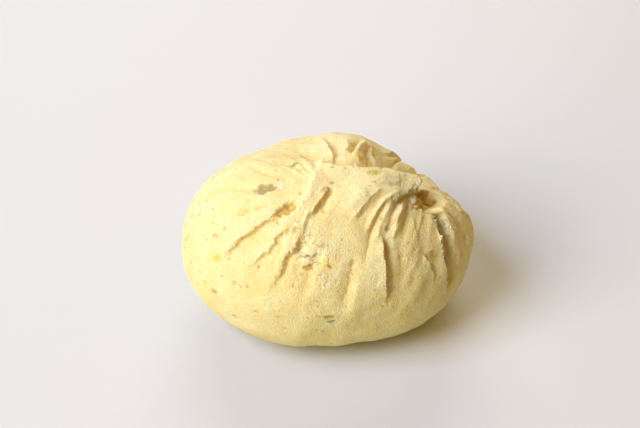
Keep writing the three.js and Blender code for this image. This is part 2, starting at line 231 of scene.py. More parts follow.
fold("soft middle band", "knot", (-20, 15.5), (-11.8, 19), (3, 24), depth=0.5, width=0.9)
fold("soft middle ridge", "knot", (-8, 17), (0.7, 21.1), (10, 25), depth=-0.25, width=1.4)
fold("great right fold", "knot", (33, 2.6), (40.3, 8.4), (55.3, 16.5), depth=2.2, width=1.1,
     lip=0.4, high=-1, drop=0.35, over=0.35, fade=0.3)
fold("right edge ridge", "knot", (63, 2.8), (52.9, 6.3), (55.3, 12), depth=-0.7, width=0.6)
fold("outer right fold", "knot", (92, 3.6), (73, 5.9), (72, 9), depth=0.6, width=0.5)
fold("skirt line", "knot", (57.5, 15.8), (54, 18.1), (49, 21), depth=0.2, width=0.3)
fold("sheet's end", "crown", (114, 9), (104.5, 13), (101, 15.7), depth=-2.5, width=1.1,
     start=0.9, fade=0.06, ragged=0.6)
fold("pit septum", "knot", (120, 3.2), (57, 1.6), (20, 3.6), depth=-1.0, width=0.3)
fold("torn edge", "knot", (150, 5.6), (-48, 2.2), (-43, 8), depth=0.6, width=1.0,
     lip=0.4, high=-1, drop=0.3, over=0.25)

fold("crest", "crown", (179, 5.8), (117, 7.6), (112, 17.5), depth=1.4, width=1.8,
     lip=0.9, high=-1, drop=0.7, fade=0.25)
fold("crown hollow", "crown", (-163, 13), (-173, 10), (172, 6.5), depth=0.8, width=1.4)
fold("first back fold", "crown", (179, 20), (170, 11.5), (152, 5.5), depth=0.7, width=1.2,
     lip=0.45, high=-1, drop=0.4)
fold("bright back panel", "crown", (164, 19), (157, 12.5), (149, 8), depth=-0.4, width=0.9)
fold("second back fold", "crown", (158, 21), (152.5, 13.8), (145, 9), depth=0.8, width=0.55)
fold("second back ridge", "crown", (154, 21), (148.5, 13.6), (139, 8.2), depth=-0.6, width=0.5)
fold("third back fold", "crown", (150, 21), (137.5, 13), (118, 10), depth=0.9, width=0.55)
fold("third back ridge", "crown", (151, 22), (141, 16), (121, 12), depth=-0.5, width=0.5)
fold("fourth back fold", "crown", (149, 22), (137, 17), (118, 14.5), depth=0.5, width=0.6)
fold("fifth back fold", "knot", (-108, 6), (-128, 9), (-152, 12.5), depth=0.5, width=0.6)

# %% The folds that nobody sees from the front
# How many there are, the bearing of the first, the step to the next and their sway, in degrees
FAR_BACK_FOLDS = 10
FAR_BACK_FIRST = 122
FAR_BACK_STEP = 12.5
FAR_BACK_DRIFT = 3
FAR_BACK_SWAY = 5
FAR_RIGHT_FOLDS = 5
FAR_RIGHT_FIRST = 98
FAR_RIGHT_STEP = 17
FAR_RIGHT_SWAY = 4

for i in range(FAR_BACK_FOLDS):
    turn = FAR_BACK_FIRST + FAR_BACK_STEP * i + FAR_BACK_DRIFT * math.sin(2.4 * i)
    sway = FAR_BACK_SWAY * math.sin(1.3 * i + 1)
    fold(f"far back fold {i + 1}", "crown", (turn, 22 + 2 * (i % 2)), (turn + sway, 29),
         (turn + 1.5 * sway, 37 - 3 * (i % 3)), depth=0.5 + 0.2 * math.cos(1.7 * i), width=0.9,
         lip=0.35, high=1 if i % 3 else -1, drop=0.5)
for i in range(FAR_RIGHT_FOLDS):
    turn = FAR_RIGHT_FIRST + FAR_RIGHT_STEP * i
    sway = FAR_RIGHT_SWAY * math.sin(2 * i)
    fold(f"far right fold {i + 1}", "knot", (turn, 7), (turn + sway, 12),
         (turn - 5, 19 - 2 * (i % 2)), depth=0.45, width=0.8, lip=0.25, high=-1, drop=0.5)
print("folds with the far ones:", len(FOLDS))

# %% Two ridges by the crown
fold("crown ridge", "crown", (-170, 5), (-60, 1.7), (-38, 10), depth=-0.6, width=1.2)
fold("ledge ridge", "crown", (-69, 7.6), (-71.7, 11.2), (-77, 15), depth=-0.15, width=0.5)
print(len(FOLDS), "folds and ridges placed")

# %% [markdown]
# ## What a fold does to the skin
# For any direction from the heart the skin asks every fold how far it lifts or sinks the paste
# there. A soft fold is a smooth groove. A stepped one has a high side with a lip and a hollow at
# the foot of the step, and where the lip leans over, the skin is also moved sideways. The line is
# disturbed by noise, because a torn edge is never straight. The shade is kept for the material,
# which paints it into the colour: deep between two walls the paste is painted darker and warmer.

# %% How a fold lifts the skin
def smoothstep(x, low, high):
    t = np.clip((x - low) / (high - low), 0, 1)
    return t * t * (3 - 2 * t)


def strength_along(along, f):
    return smoothstep(along, 0, f["start"]) * smoothstep(1 - along, 0, f["fade"])


# How far noise moves a line, in mm, and how a fold's width starts and how much it grows
RAGGED = 0.25
START_WIDTH = 0.7
WIDENING = 0.6
# How round a soft fold's crest is, as a share of its width, how steep it falls and its most shade
CREST = 0.35
CREST_STEEPNESS = 1.3
MOST_SOFT_SHADE = 0.6
# How far a lip goes on beside the step, in widths, and where it leans over, in mm
LIP_SPREAD = 1.2
OVER_SPREAD = 1.1
# Where the foot's shade lies, in drops, and how wide it is; the depths from which a hollow gets
# painted shade
FOOT_AT = 0.6
FOOT_SPREAD = (0.35, 0.2)
DEEP_FROM = 0.5
DEEP_SPAN = 1.2
TINY = 1e-9


def fold_lift(d, f, wander):
    """A fold's lift of the skin (below zero it sinks), its lip's sideways shift and its shade."""
    along, gap, away = beside(d, f["line"])
    gap = gap + RAGGED * f["ragged"] * wander
    width = f["width"] * (START_WIDTH + WIDENING * along)
    strength = strength_along(along, f)
    shift = np.zeros_like(d)
    if not f["high"]:
        crest = CREST * width
        ridge = np.exp(-(np.hypot(gap, crest) - crest) / width * CREST_STEEPNESS)
        shade = strength * ridge * np.clip(f["depth"], 0, MOST_SOFT_SHADE)
        return -f["depth"] * strength * ridge, shift, shade
    height = gap * f["high"]
    bank = np.clip(1 + height / f["drop"], 0, 1) ** 2
    below = np.minimum(height + f["drop"], 0)
    hollow = -f["depth"] * np.exp(-(below / width) ** 2)
    lip = f["lip"] * np.exp(-np.maximum(height, 0) / (LIP_SPREAD * width))
    if f["over"]:
        outward = away / np.maximum(np.linalg.norm(away, axis=1, keepdims=True), TINY)
        outward = outward * np.sign(height)[:, None]
        reach = f["over"] * strength * bank * np.exp(-(np.maximum(height, 0) / OVER_SPREAD) ** 2)
        shift = -outward * reach[:, None]
    foot = (height + FOOT_AT * f["drop"]) / (FOOT_SPREAD[0] * f["drop"] + FOOT_SPREAD[1])
    shade = np.exp(-foot ** 2) * min(1, f["depth"] + f["lip"])
    deep_share = np.clip((f["depth"] - DEEP_FROM) / DEEP_SPAN, 0, 1)
    deep = (1 - bank) * np.exp(-(below / width) ** 2) * deep_share
    shade = strength * np.maximum(shade, deep)
    return strength * (hollow * (1 - bank) + lip * bank), shift, shade


# How near to a line, in mm, the points are drawn to it, and how strongly
DRAW_REACH = 1.2
DRAW_POWER = 0.7


def drawn(d):
    """Directions near a stepped fold, drawn to its line, so that the mesh is finest there."""
    for f in FOLDS:
        if f["high"]:
            along, gap, away = beside(d, f["line"])
            share = np.abs(gap) / DRAW_REACH
            move = np.where(share < 1, strength_along(along, f) * (share ** DRAW_POWER - 1), 0)
            d = unit(d + away * move[:, None])
    return d


# %% [markdown]
# ## The torn pit and the fine unevenness
# At the knot the cloth pulled a piece of paste out, so a pit with ragged walls is left. The rest
# of the skin isn't even either: faint pleats run out from both gathers, and under them lie lumps
# of several sizes, from the hand's pressure down to the grain of the paste. Noise makes them, in
# four layers that get smaller and lower.

# %% The pit, the faint pleats and the lumps
PIT_PLACE = ("knot", 66, 2.1)
PIT_TURN = 152
PIT_LENGTH = 3.6
PIT_WIDTH = 1.8
PIT_DEPTH = 2.9
PIT_ROUGH = 1.1
PIT_FLAKES = 0.3
# The size of its roughness, how far its rim swings, and the share of it that is floor
PIT_ROUGH_SIZE = 0.06
PIT_LOBES = 0.2
PIT_FLOOR = 0.65


def pit_share(d):
    """1 in the torn pit at the knot, 0 outside it."""
    _, along, across = gather_frame("knot", PIT_TURN)
    away = (d - around(*PIT_PLACE)) * BALL
    u, v = away @ along / PIT_LENGTH, away @ across / PIT_WIDTH
    clock = np.arctan2(v, u)
    ragged = 1 + PIT_LOBES * np.sin(3 * clock + 1) * np.cos(2 * clock)
    near = d @ around(*PIT_PLACE) > 0
    return np.where(near, 1 - smoothstep(np.hypot(u, v), PIT_FLOOR * ragged, ragged), 0)


def noise_at(places, seed):
    """Smooth noise from -1 to 1 at each of the places."""
    return np.array([noise.noise(Vector(p) + Vector((seed, 2 * seed, 0))) for p in places])


def clock_and_reach(d, gather):
    centre, front, right = gather_frame(gather)
    clock = np.arctan2(d @ right, d @ front)
    return clock, np.arccos(np.clip(d @ centre, -1, 1)) * BALL


STREAKS_ROUND = 9
STREAK_LENGTH = 12
STREAK_LIFT = {"crown": 0.32, "knot": 0.26}
STREAK_FANS = {"crown": (-100, 95), "knot": (20, 110)}
# Reaches in mm where the pleats begin and are full, and where they end and how long that takes
STREAKS_START = (2, 5)
STREAKS_END = (22, 9)
# How far the two fans fade where they meet, in mm, and at their sides, in degrees
STREAKS_MEET = 3
FAN_FADE = 20
# Each layer of unevenness: its size as a share of the heart's reach, and its lift in millimetres
UNEVEN = [(0.22, 0.22), (0.09, 0.10), (0.045, 0.05), (0.018, 0.035)]


def streak_lift(d):
    """Fine pleats that run out from the nearer gather."""
    lift = 0
    for gather, other in (("crown", "knot"), ("knot", "crown")):
        clock, reach = clock_and_reach(d, gather)
        far = clock_and_reach(d, other)[1]
        wheel = np.stack([np.cos(clock) * STREAKS_ROUND, np.sin(clock) * STREAKS_ROUND,
                          reach / STREAK_LENGTH], 1)
        fade = smoothstep(reach, *STREAKS_START)
        fade = fade * smoothstep(STREAKS_END[0] - reach, 0, STREAKS_END[1])
        fade = fade * smoothstep(far - reach, -STREAKS_MEET, STREAKS_MEET)
        front, half = STREAK_FANS[gather]
        aside = np.abs(np.degrees(clock) - front + 180) % 360 - 180
        fade = fade * smoothstep(half - np.abs(aside), 0, FAN_FADE)
        lift = lift + STREAK_LIFT[gather] * fade * noise_at(wheel, 3)
    return lift


# %% [markdown]
# ## Bits, pits and crumbs
# The paste is boiled chestnut put through a sieve, so small pieces of nut stay in it. Some show
# as yellow or amber flesh in a ragged hole, some as a grain that stands out, and many only as a
# dimple. Each one is placed by its bearing and height seen from the heart.

# %% The bits of chestnut
# One bit: bearing, height, half length, half width, turn of its length from level, rise (mm)
BITS = {
    "yellow": [(-125.5, 57.5, 0.8, 0.45, 60, -0.3), (-33, 21, 0.95, 0.45, 95, -0.2),
               (-22, 66, 1.1, 0.35, -55, -0.2), (-28, 2, 1.1, 0.55, 30, 0.1),
               (21, 73, 0.7, 0.6, 0, 0.35), (-95, 5, 0.5, 0.3, 0, 0.05),
               (-148, 19, 0.8, 0.4, 60, 0)],
    "amber": [(-127, 55, 1.4, 0.9, 60, -0.6), (-101, 31, 0.7, 0.45, 0, -0.15),
              (-23.5, 41.5, 0.6, 0.5, 20, -0.1), (-18, 31.5, 0.6, 0.4, 0, -0.1),
              (-89, 4, 0.8, 0.4, 0, -0.15), (-135, -6, 0.5, 0.3, 20, -0.25)],
    "orange": [(-145, 3.5, 0.65, 0.28, 20, -0.05), (-89, 32, 0.35, 0.3, 0, -0.1)],
    "green": [(-155, 56, 1.9, 0.75, 61, -0.45), (-50, 43, 0.5, 0.45, 0, 0.05),
              (172, 73, 0.8, 0.35, 95, -0.25), (-88, 1, 0.6, 0.35, 10, -0.15)],
    "lemon": [(-92, 35.5, 1.0, 0.5, 85, 0.15)],
    "cream": [(-13.5, 13.5, 0.65, 0.5, 80, 0.35), (-147, 62, 0.5, 0.35, 30, 0.15),
              (-144, 26, 0.4, 0.2, 70, 0.15), (-144, 41, 0.3, 0.2, 0, 0.12),
              (-134, -16, 0.35, 0.25, 0, 0.1)],
    "brown": [(-94, 70, 0.6, 0.3, 45, -0.05), (-83, 74, 0.4, 0.25, 0, -0.05),
              (-104, 36, 0.8, 0.15, 15, -0.12), (-98, 37, 0.6, 0.15, 40, -0.1),
              (1, 36, 0.7, 0.4, 0, -0.1), (-72, 83, 0.25, 0.2, 0, -0.03),
              (-124, 65, 0.25, 0.2, 0, -0.03), (-127, 25, 0.25, 0.2, 0, -0.03)],
    "dimple": [(b, h, 0.38, 0.26, 40, -0.06) for b, h in (
        (-176, 28), (-179, 23), (-167, 31), (-177, 18), (-177, 12), (-161, 28), (-153, 31),
        (-156, 25), (-170, 11), (-155, 7), (-162, 6), (-151, 4), (-136, 13))],
}
BIT_COLOURS = {
    "yellow": (0.84, 0.64, 0.06), "amber": (0.66, 0.42, 0.04), "orange": (0.60, 0.33, 0.01),
    "green": (0.44, 0.36, 0.10), "lemon": (0.98, 0.86, 0.22), "cream": (0.97, 0.87, 0.45),
    "brown": (0.68, 0.42, 0.14), "dimple": (0.82, 0.55, 0.12),
}
DIMPLES = 170
RANDOM_SEED = 5
rng = np.random.default_rng(RANDOM_SEED)
for _ in range(DIMPLES):
    BITS["dimple"].append((rng.uniform(-180, 180), math.degrees(math.asin(rng.uniform(-0.6, 1))),
                           rng.uniform(0.15, 0.4), rng.uniform(0.1, 0.22), rng.uniform(0, 180),
                           rng.uniform(-0.05, 0)))
print("bits and dimples:", sum(len(bits) for bits in BITS.values()))

# %% Where the skin is torn to crumbs
# Each crumbly place: bearing and height of its middle, radius in millimetres
CRUMBLY = [(-104, 44, 3.0), (-99, 36, 3.2), (-92, 27, 1.8), (-92, 40, 1.5), (-20, 44, 2.6),
           (-36, 52, 1.6), (-20, 27, 1.6), (-2, 30, 2.0), (-148, 60, 0.9), (30, 55, 2.8),
           (20, 40, 2.5), (6, 36, 2.4), (8, 27, 2.2), (-2, 20, 1.8), (2, 26, 3.2), (14, 32, 3.4),
           (-14, 26, 1.6)]


def beside_spot(d, bearing, height, turn=0):
    """Where each direction lies in mm along and across a spot, and whether on its side."""
    centre = direction(bearing, height)
    east = unit(np.cross([0, 0, 1], centre))
    north = np.cross(centre, east)
    reach = lump_reach(centre[None])[0]
    u, v = d @ east * reach, d @ north * reach
    t = math.radians(turn)
    return u * math.cos(t) + v * math.sin(t), v * math.cos(t) - u * math.sin(t), d @ centre > 0


# How ragged a bit's outline is, and the shares of its half length between which it ends
BIT_RAGGED = 0.45
BIT_RIM = (0.75, 1.25)


def add_bits(d, wander):
    """The bits' lift in mm, and the colour and share (0 to 1) of bit at each direction."""
    lift = np.zeros(len(d))
    stain = np.zeros((len(d), 4))
    for kind, bits in BITS.items():
        for bearing, height, long, wide, turn, rise in bits:
            u, v, near = beside_spot(d, bearing, height, turn)
            out = np.hypot(u / long, v / wide) + BIT_RAGGED * wander
            share = np.where(near, 1 - smoothstep(out, *BIT_RIM), 0)
            lift += rise * share
            more = share > stain[:, 3]
            stain[more, :3] = BIT_COLOURS[kind]
            stain[:, 3] = np.maximum(stain[:, 3], share)
    return lift, stain


CRUMBLY_RAGGED = 0.5
CRUMBLY_RIM = (0.4, 1.0)


def crumbly(d, wander):
    """1 where the skin is torn to crumbs, 0 where it is smooth."""
    share = np.zeros(len(d))
    for bearing, height, radius in CRUMBLY:
        u, v, near = beside_spot(d, bearing, height)
        reach = np.hypot(u, v) / radius + CRUMBLY_RAGGED * wander
        share = np.maximum(share, np.where(near, 1 - smoothstep(reach, *CRUMBLY_RIM), 0))
    return share


# %% The whole skin
CRUMB_LIFT = 0.16
CRUMB_SIZE = 0.05
FLAKE_EDGE = 0.12
# Layers of noise: size as a share of the heart's reach, weight, seed
WANDER = [(0.16, 1.4, 13), (0.05, 1, 11), (0.02, 0.6, 12)]
FINE = [(CRUMB_SIZE, 1, 21), (0.45 * CRUMB_SIZE, 0.6, 22)]


def layered_noise(d, layers):
    return sum(weight * noise_at(d / size, seed) for size, weight, seed in layers)


def skin(d):
    """The skin in mm, and what its material reads: fold lift, shade, bits, torn skin and pit."""
    wander = layered_noise(d, WANDER)
    fine = layered_noise(d, FINE)
    flakes = smoothstep(fine, -FLAKE_EDGE, FLAKE_EDGE) - 0.5
    folds = np.zeros(len(d))
    shade = np.zeros(len(d))
    shift = np.zeros_like(d)
    for f in FOLDS:
        more, aside, dark = fold_lift(d, f, wander)
        folds = folds + more
        shift = shift + aside
        shade = np.maximum(shade, dark)
    pit = pit_share(d)
    torn = np.maximum(crumbly(d, wander), pit)
    bit_lift, stain = add_bits(d, fine)
    lift = folds + streak_lift(d) + bit_lift
    for i, (size, rise) in enumerate(UNEVEN):
        lift = lift + rise * noise_at(d / size, 7 + i)
    lift = lift + (CRUMB_LIFT * torn + PIT_FLAKES * pit) * flakes
    lift = lift - pit * (PIT_DEPTH + PIT_ROUGH * noise_at(d / PIT_ROUGH_SIZE, 31))
    points = d * (lump_reach(d) + lift)[:, None] + shift + np.array([0, 0, HEART_HEIGHT])
    return points, folds, shade, stain, torn, pit


# %% [markdown]
# ## The paste as a mesh
# A ball of even triangles has no poles that could pinch, so it is a good start for a lump. It is
# cut once more on the pleated side and drawn closer to the steps, so that their edges stay crisp.
# Then each point is moved to where the skin formula puts it, and a level plane cuts the foot on
# which the sweet rests. The values the material needs are kept at the points.

# %% Shape the paste
# The ball's cuts, then the middle of its finer side and how far that goes, in degrees
BALL_CUTS = 7
FINE_SIDE = (-60, 62)
FINE_ANGLE = 76


def ball_mesh(subdivisions, fine_side, fine_angle):
    """A ball of even triangles, cut finer on its pleated side."""
    bm = bmesh.new()
    bmesh.ops.create_icosphere(bm, subdivisions=subdivisions, radius=1)
    limit = math.cos(math.radians(fine_angle))
    fine = [e for e in bm.edges if all(v.co.normalized().dot(fine_side) > limit for v in e.verts)]
    bmesh.ops.subdivide_edges(bm, edges=fine, cuts=1)
    bmesh.ops.triangulate(bm, faces=bm.faces)
    for v in bm.verts:
        v.co.normalize()
    return bm


def finished(bm, name):
    """A new object in the scene, made from a bmesh."""
    mesh = bpy.data.meshes.new(name)
    bm.to_mesh(mesh)
    bm.free()
    made = bpy.data.objects.new(name, mesh)
    bpy.context.collection.objects.link(made)
    return made


bm = ball_mesh(BALL_CUTS, Vector(direction(*FINE_SIDE)), FINE_ANGLE)
d = drawn(np.array([v.co[:] for v in bm.verts]))
points, folds, shade, stain, torn, pit = skin(d)
layers = bm.verts.layers
stain_layer = layers.float_color.new("stain")
# The mesh's fold value holds the folds' shade, which the material paints into the colour
names = ("lift", "fold", "torn", "pit")
lift_layer, fold_shade_layer, torn_layer, pit_layer = (layers.float.new(name) for name in names)
for i, v in enumerate(bm.verts):
    v[stain_layer] = stain[i]
    v[lift_layer] = folds[i]
    v[fold_shade_layer] = shade[i]
    v[torn_layer] = torn[i]
    v[pit_layer] = pit[i]
middle = (points.min(0) + points.max(0)) / 2
for v, p in zip(bm.verts, points):
    v.co = (p[0] - middle[0], p[1] - middle[1], p[2])
bmesh.ops.bisect_plane(bm, geom=bm.verts[:] + bm.edges[:] + bm.faces[:], plane_co=(0, 0, 0),
                       plane_no=(0, 0, -1), clear_outer=True)
bmesh.ops.holes_fill(bm, edges=[e for e in bm.edges if e.is_boundary])
bmesh.ops.triangulate(bm, faces=[f for f in bm.faces if len(f.verts) > 3])
bmesh.ops.scale(bm, vec=(MM, MM, MM), verts=bm.verts)
for f in bm.faces:
    f.smooth = True
body = finished(bm, "paste_body")
print("paste body:", len(body.data.polygons), "triangles, middle", middle)

# %% [markdown]
# ## The look of the paste
# Sieved chestnut is matt and finely grained and pale yellow where light falls on it. In the folds
# its colour is painted deeper as shade, and on the ridges paler as light. The small sums that mix
# these tones are easier to read as Python sums, so a little class turns them to shader nodes.

# %% Sums as shader nodes
class Wire:
    """A shader socket that can be used in sums."""

    def __init__(self, tree, socket):
        self.tree = tree
        self.socket = socket

    def math(self, operation, *values):
        return node(self.tree, "ShaderNodeMath", {"operation": operation}, dict(enumerate(values)))

    def __add__(self, other):
        return self.math("ADD", self, other)

    def __sub__(self, other):
        return self.math("SUBTRACT", self, other)

    def __rsub__(self, other):
        return self.math("SUBTRACT", other, self)

    def __mul__(self, other):
        return self.math("MULTIPLY", self, other)

    __radd__ = __add__
    __rmul__ = __mul__

    def ramp(self, low, high):
        """0 below low, 1 above high and smooth between them."""
        return node(self.tree, "ShaderNodeMapRange", {"interpolation_type": "SMOOTHSTEP"},
                    {"Value": self, "From Min": low, "From Max": high})


def node(tree, kind, settings=None, values=None, output=0):
    """A new node with its settings and its input values or wires, as a wire from one output."""
    made = tree.nodes.new(kind)
    for name, value in (settings or {}).items():
        setattr(made, name, value)
    for name, value in (values or {}).items():
        if isinstance(value, Wire):
            tree.links.new(value.socket, made.inputs[name])
        else:
            made.inputs[name].default_value = value
    return Wire(tree, made.outputs[output])


def mixed(tree, share, first, second):
    """The first colour where share is 0, the second where it is 1."""
    first, second = ((*c, 1) if isinstance(c, tuple) else c for c in (first, second))
    return node(tree, "ShaderNodeMix", {"data_type": "RGBA"}, {0: share, 6: first, 7: second},
                output=2)


def grain(tree, place, size, detail=2, roughness=0.5):
    """Noise from about 0 to 1 whose grains are size millimetres across."""
    values = {"Vector": place, "Scale": 1 / (size * MM), "Detail": detail, "Roughness": roughness}
    return node(tree, "ShaderNodeTexNoise", {}, values)


# %% [markdown]
# ## The paste's material
# The tone starts from two pale yellows in soft blotches. Hollows are painted deeper as shade and
# ridges paler as light, the walls of steps are painted amber as shade, torn places get pale crumbs
# and a darker tone with painted shade in the gaps, the pit is painted darker, partly as shade, and
# the bits of nut bring their own colours. A fine sand of darker and paler grains goes over all of
# it, as sieved chestnut has. A little light goes through the paste, and a fine bump keeps it matt.

# %% The paste's material
def new_material(name):
    made = bpy.data.materials.new(name)
    made.use_nodes = True
    return made, made.node_tree, made.node_tree.nodes["Principled BSDF"]


PASTE_PALE = (0.98, 0.84, 0.31)
PASTE_DEEP = (0.97, 0.77, 0.23)
# Painted shade: amber on the walls of steps, in deep hollows and in the gaps of torn skin
PAINTED_AMBER_SHADE = (0.86, 0.63, 0.14)
# Painted shade in hollows
PAINTED_HOLLOW_SHADE = (0.94, 0.73, 0.21)
# Painted light on ridges; the loose crumbs also get this pale tone at random
RIDGE_LIGHT_AND_CRUMB_TONE = (0.99, 0.87, 0.36)
CRUMB_COLOUR = (0.99, 0.88, 0.40)
POWDER_COLOUR = (0.99, 0.91, 0.46)
CRACK_COLOUR = (0.82, 0.57, 0.15)
# The pit's darker tone: partly its own torn inside, partly painted shade
PIT_TONE_AND_SHADE = (0.80, 0.53, 0.13)
SPECK_COLOUR = (0.62, 0.38, 0.17)
SAND_DARK = (0.87, 0.64, 0.20)
SAND_PALE = (0.99, 0.93, 0.66)

# %% What the mesh tells the material
OBJECT_OUTPUT = 3
COLOUR_OUTPUT, VALUE_OUTPUT, ALPHA_OUTPUT = 0, 2, 3


def stored(tree, name, output):
    """What the mesh keeps under a name at its points."""
    return node(tree, "ShaderNodeAttribute", {"attribute_name": name}, output=output)


paste, tree, shader = new_material("paste")
place = node(tree, "ShaderNodeTexCoord", output=OBJECT_OUTPUT)
stain_colour = stored(tree, "stain", COLOUR_OUTPUT)
stain_share = stored(tree, "stain", ALPHA_OUTPUT)
# The fold lift and the fold shade are masks for painted shade and painted light in the colour
lift_here, fold_shade_here, torn_here, pit_here = (stored(tree, name, VALUE_OUTPUT) for name in names)
print("the mesh gives", ", ".join(names), "and stain")

# %% Cracks, blotches and grains
# All sizes are in millimetres
WARP_SIZE = 1.2
WARP_REACH = 2.5
CELL_SIZE = 2.2
BLOTCH_SIZE = 3.5
POWDER_SIZE = 1.4
FLECK_SIZE = 0.30
LUMP_SIZE = 1.1
SAND_SIZE = 0.22
SPECK_SIZE = 0.7

warp = node(tree, "ShaderNodeTexNoise", {}, {"Vector": place, "Scale": 1 / (WARP_SIZE * MM)},
            output=1)
bent = node(tree, "ShaderNodeVectorMath", {"operation": "MULTIPLY_ADD"},
            {0: warp, 1: (WARP_REACH * MM,) * 3, 2: place})
cells = node(tree, "ShaderNodeTexVoronoi", {"feature": "DISTANCE_TO_EDGE"},
             {"Vector": bent, "Scale": 1 / (CELL_SIZE * MM)})
crack = (1 - cells.ramp(0.0, 0.06)) * torn_here.ramp(0.2, 0.8)
blotch = grain(tree, place, BLOTCH_SIZE, 3).ramp(0.35, 0.65)
powder = grain(tree, place, POWDER_SIZE, 4, 0.65)
fleck = grain(tree, place, FLECK_SIZE, 3)
lumps = grain(tree, place, LUMP_SIZE, 3)
sand = grain(tree, place, SAND_SIZE, 2)
specks = grain(tree, place, SPECK_SIZE, 1)
print("grains from", SAND_SIZE, "to", BLOTCH_SIZE, "mm")

# %% The layers of colour
# Each layer: where and how much of it shows, and its colour; each lies over the ones before it
LAYERS = [
    # Painted shade in hollows and painted light on ridges
    ((lift_here * -1).ramp(0.0, 0.5) * 0.35, PAINTED_HOLLOW_SHADE),
    (lift_here.ramp(0.0, 0.5) * 0.6, RIDGE_LIGHT_AND_CRUMB_TONE),
    # Painted shade on the walls and feet of steps and in deep hollows
    (fold_shade_here.ramp(0.05, 0.8) * 0.75, PAINTED_AMBER_SHADE),
    # A darker tone of torn skin, with painted shade in the gaps between its crumbs
    (torn_here * (1 - fleck.ramp(0.3, 0.5)) * 0.6, PAINTED_AMBER_SHADE),
    (torn_here * fleck.ramp(0.4, 0.6) * 0.7, CRUMB_COLOUR),
    (torn_here * powder.ramp(0.5, 0.6) * 0.6, POWDER_COLOUR),
    (crack * 0.55, CRACK_COLOUR),
    # The pit painted darker: partly its torn inside, partly painted shade
    (pit_here.ramp(0.2, 0.8) * (0.35 + lumps.ramp(0.35, 0.6) * 0.6), PIT_TONE_AND_SHADE),
    (stain_share * 0.95, stain_colour),
    (fleck.ramp(0.60, 0.75) * 0.5, SPECK_COLOUR),
    (sand.ramp(0.5, 0.7) * 0.5, SAND_DARK),
    ((1 - sand.ramp(0.32, 0.46)) * 0.45, SAND_PALE),
    (specks.ramp(0.70, 0.78) * 0.5, SPECK_COLOUR),
]
colour = mixed(tree, blotch, PASTE_DEEP, PASTE_PALE)
for share, tone in LAYERS:
    colour = mixed(tree, share, colour, tone)
tree.links.new(colour.socket, shader.inputs["Base Color"])
print(len(LAYERS), "layers of colour")

# %% Bump, gloss and the light in the paste
BUMP_SIZE = 0.25
BUMP_HEIGHT = 0.38
CRACK_SINK = 0.5
PASTE_ROUGHNESS = 0.72
BIT_GLOSS = 0.3
PASTE_GLOW = (1.0, 0.6, 0.25)


def let_light_in(shader, weight, glow, reach):
    """How much light goes into the skin, its share in red, green and blue, and how far in mm."""
    shader.inputs["Subsurface Weight"].default_value = weight
    shader.inputs["Subsurface Radius"].default_value = glow
    shader.inputs["Subsurface Scale"].default_value = reach * MM


rough = grain(tree, place, BUMP_SIZE, 3, 0.7) - crack * CRACK_SINK
bump = node(tree, "ShaderNodeBump", {},
            {"Height": rough, "Strength": 1.0, "Distance": BUMP_HEIGHT * MM})
tree.links.new(bump.socket, shader.inputs["Normal"])
tree.links.new((PASTE_ROUGHNESS - stain_share * BIT_GLOSS).socket, shader.inputs["Roughness"])
shader.inputs["Specular IOR Level"].default_value = 0.2
let_light_in(shader, 0.35, PASTE_GLOW, 1.0)
body.data.materials.append(paste)
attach(body, "root")
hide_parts(NODE)
print("the paste has", len(tree.nodes), "shader nodes")

# %% [markdown]
# ## Loose crumbs
# Where the skin tore, small crumbs of paste stand on it. They are a separate piece here, made
# one by one from the roughest round shape, so that each has its own size, turn and place.

# %% Loose crumbs on the torn skin
CRUMB_RADIUS = (0.07, 0.18)
CRUMB_SUNK = 0.35
CRUMB_STRETCH = (0.6, 1.2)
CRUMB_DENT = 0.35
CRUMB_NOISE = 4
LIP_CRUMBS = 4
PLACE_CRUMBS = 16
# How far crumbs stray, as a share of their place's radius and in mm from a lip
PLACE_STRAY = 0.4
LIP_STRAY = 0.25
LOWEST_CRUMB = 1


def crumb_directions():
    """Where crumbs lie: scattered in the crumbly places and along the lips of stepped folds."""
    found = []
    for bearing, height, radius in CRUMBLY:
        centre = direction(bearing, height)
        for _ in range(int(PLACE_CRUMBS * min(radius, 2) ** 0.5)):
            found.append(unit(centre + rng.normal(0, PLACE_STRAY * radius / BALL, 3)))
    for f in FOLDS:
        if f["high"] and "far" not in f["name"]:
            for t in rng.uniform(0.1, 0.9, LIP_CRUMBS):
                stray = rng.normal(0, LIP_STRAY / BALL, 3)
                found.append(unit(f["line"][int(t * SEGMENTS)] + stray))
    return np.array(found)


def dent(verts, middle, share, often):
    """Make a round shape uneven: each point moves out or in by a share of its way to the middle."""
    for v in verts:
        v.co += (v.co - middle) * share * noise.noise(v.co * often)


def add_crumb(bm, place, outward, radius):
    """One rough crumb, partly sunk in the skin."""
    turn = Matrix.Rotation(rng.uniform(0, 6.3), 4, Vector(outward))
    sizes = Matrix.Diagonal((*(radius * rng.uniform(*CRUMB_STRETCH, 3)), 1))
    spot = Matrix.Translation(Vector(place - CRUMB_SUNK * radius * outward))
    made = bmesh.ops.create_icosphere(bm, subdivisions=2, radius=1, matrix=spot @ turn @ sizes)
    dent(made["verts"], Vector(place), CRUMB_DENT, CRUMB_NOISE)


